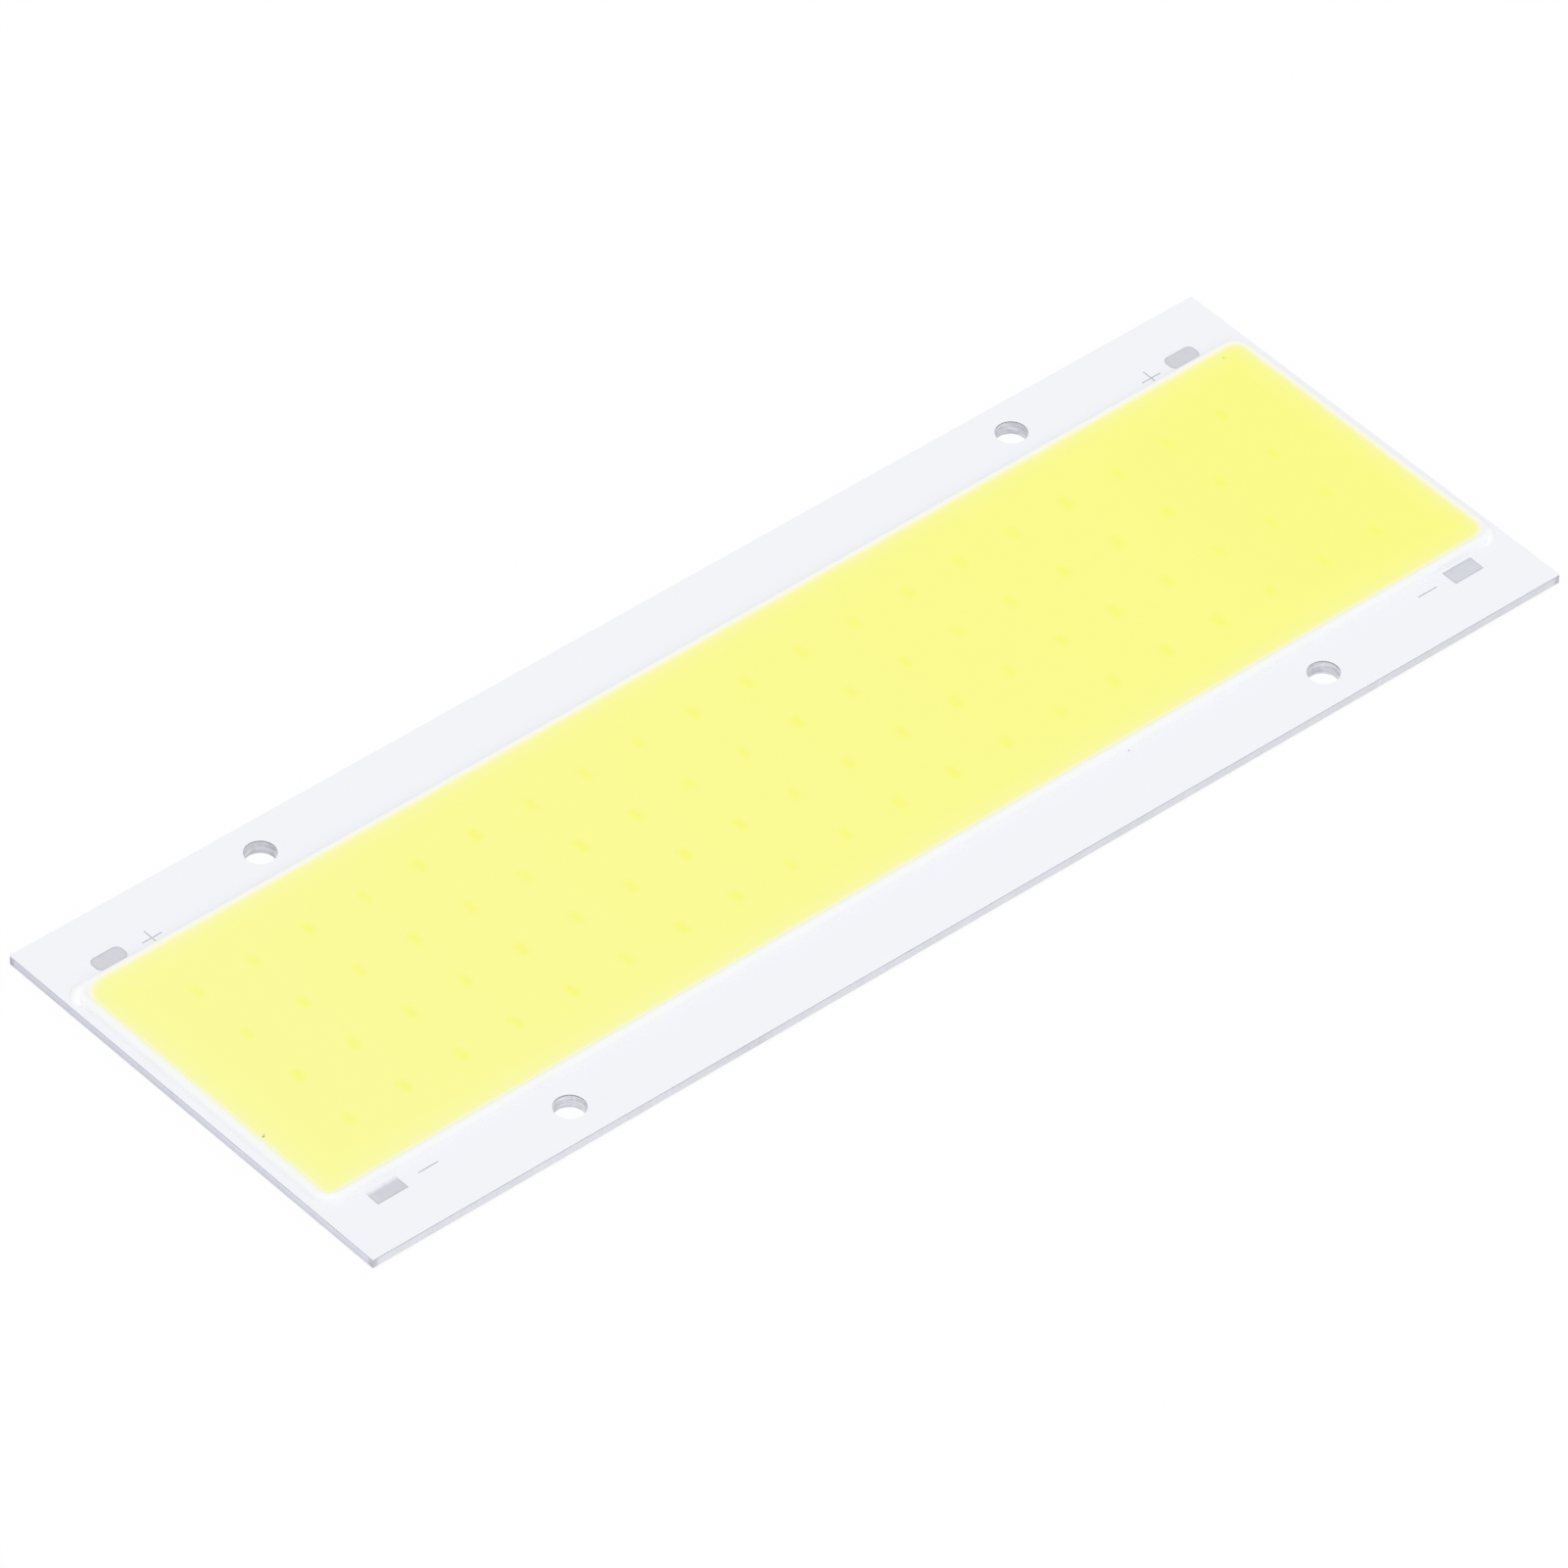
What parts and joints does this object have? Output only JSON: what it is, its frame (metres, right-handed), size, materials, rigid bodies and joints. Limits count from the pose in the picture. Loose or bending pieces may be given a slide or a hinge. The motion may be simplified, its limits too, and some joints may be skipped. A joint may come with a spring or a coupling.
{
  "type": "cob led panel",
  "caption": "Long aluminium-cored LED board: rows of dies under a yellow phosphor field held by a white silicone dam, with corner solder pads and mounting holes.",
  "frame": {"origin": "middle of the board's bare back face", "axes": "+X along the board, +Y across it towards the positive pads, +Z out of the lit face"},
  "size_m": [0.14, 0.05, 0.0023],
  "materials": {
    "aluminium_base": "bare rolled sheet, satin, with scored and snapped edges",
    "dielectric": "glass-filled resin, matte",
    "copper": "etched copper foil",
    "white_mask": "white solder mask ink, satin",
    "tin": "hot-levelled tin, dull grey",
    "solder": "reflowed solder",
    "die": "polished sapphire",
    "dam_silicone": "white silicone, smooth",
    "phosphor_silicone": "yellow phosphor in clear silicone, smooth"
  },
  "bodies": {
    "root": {"base_plate": "aluminium_base", "dielectric_layer": "dielectric", "copper_positive_rail": "copper", "copper_negative_rail": "copper", "copper_link_1": "copper", "copper_link_2": "copper", "copper_link_3": "copper", "solder_mask": "white_mask", "positive_pad_left": "tin", "positive_pad_right": "tin", "negative_pad_left": "tin", "negative_pad_right": "tin", "die_solder_01": "solder", "die_solder_02": "solder", "die_solder_03": "solder", "die_solder_04": "solder", "die_solder_05": "solder", "die_solder_06": "solder", "die_solder_07": "solder", "die_solder_08": "solder", "die_solder_09": "solder", "die_solder_10": "solder", "die_solder_11": "solder", "die_solder_12": "solder", "die_solder_13": "solder", "die_solder_14": "solder", "die_solder_15": "solder", "die_solder_16": "solder", "die_solder_17": "solder", "die_solder_18": "solder", "die_solder_19": "solder", "die_solder_20": "solder", "led_string_01": "die", "led_string_02": "die", "led_string_03": "die", "led_string_04": "die", "led_string_05": "die", "led_string_06": "die", "led_string_07": "die", "led_string_08": "die", "led_string_09": "die", "led_string_10": "die", "led_string_11": "die", "led_string_12": "die", "led_string_13": "die", "led_string_14": "die", "led_string_15": "die", "led_string_16": "die", "led_string_17": "die", "led_string_18": "die", "led_string_19": "die", "led_string_20": "die", "silicone_dam": "dam_silicone", "phosphor_fill": "phosphor_silicone"}
  },
  "joints": []
}
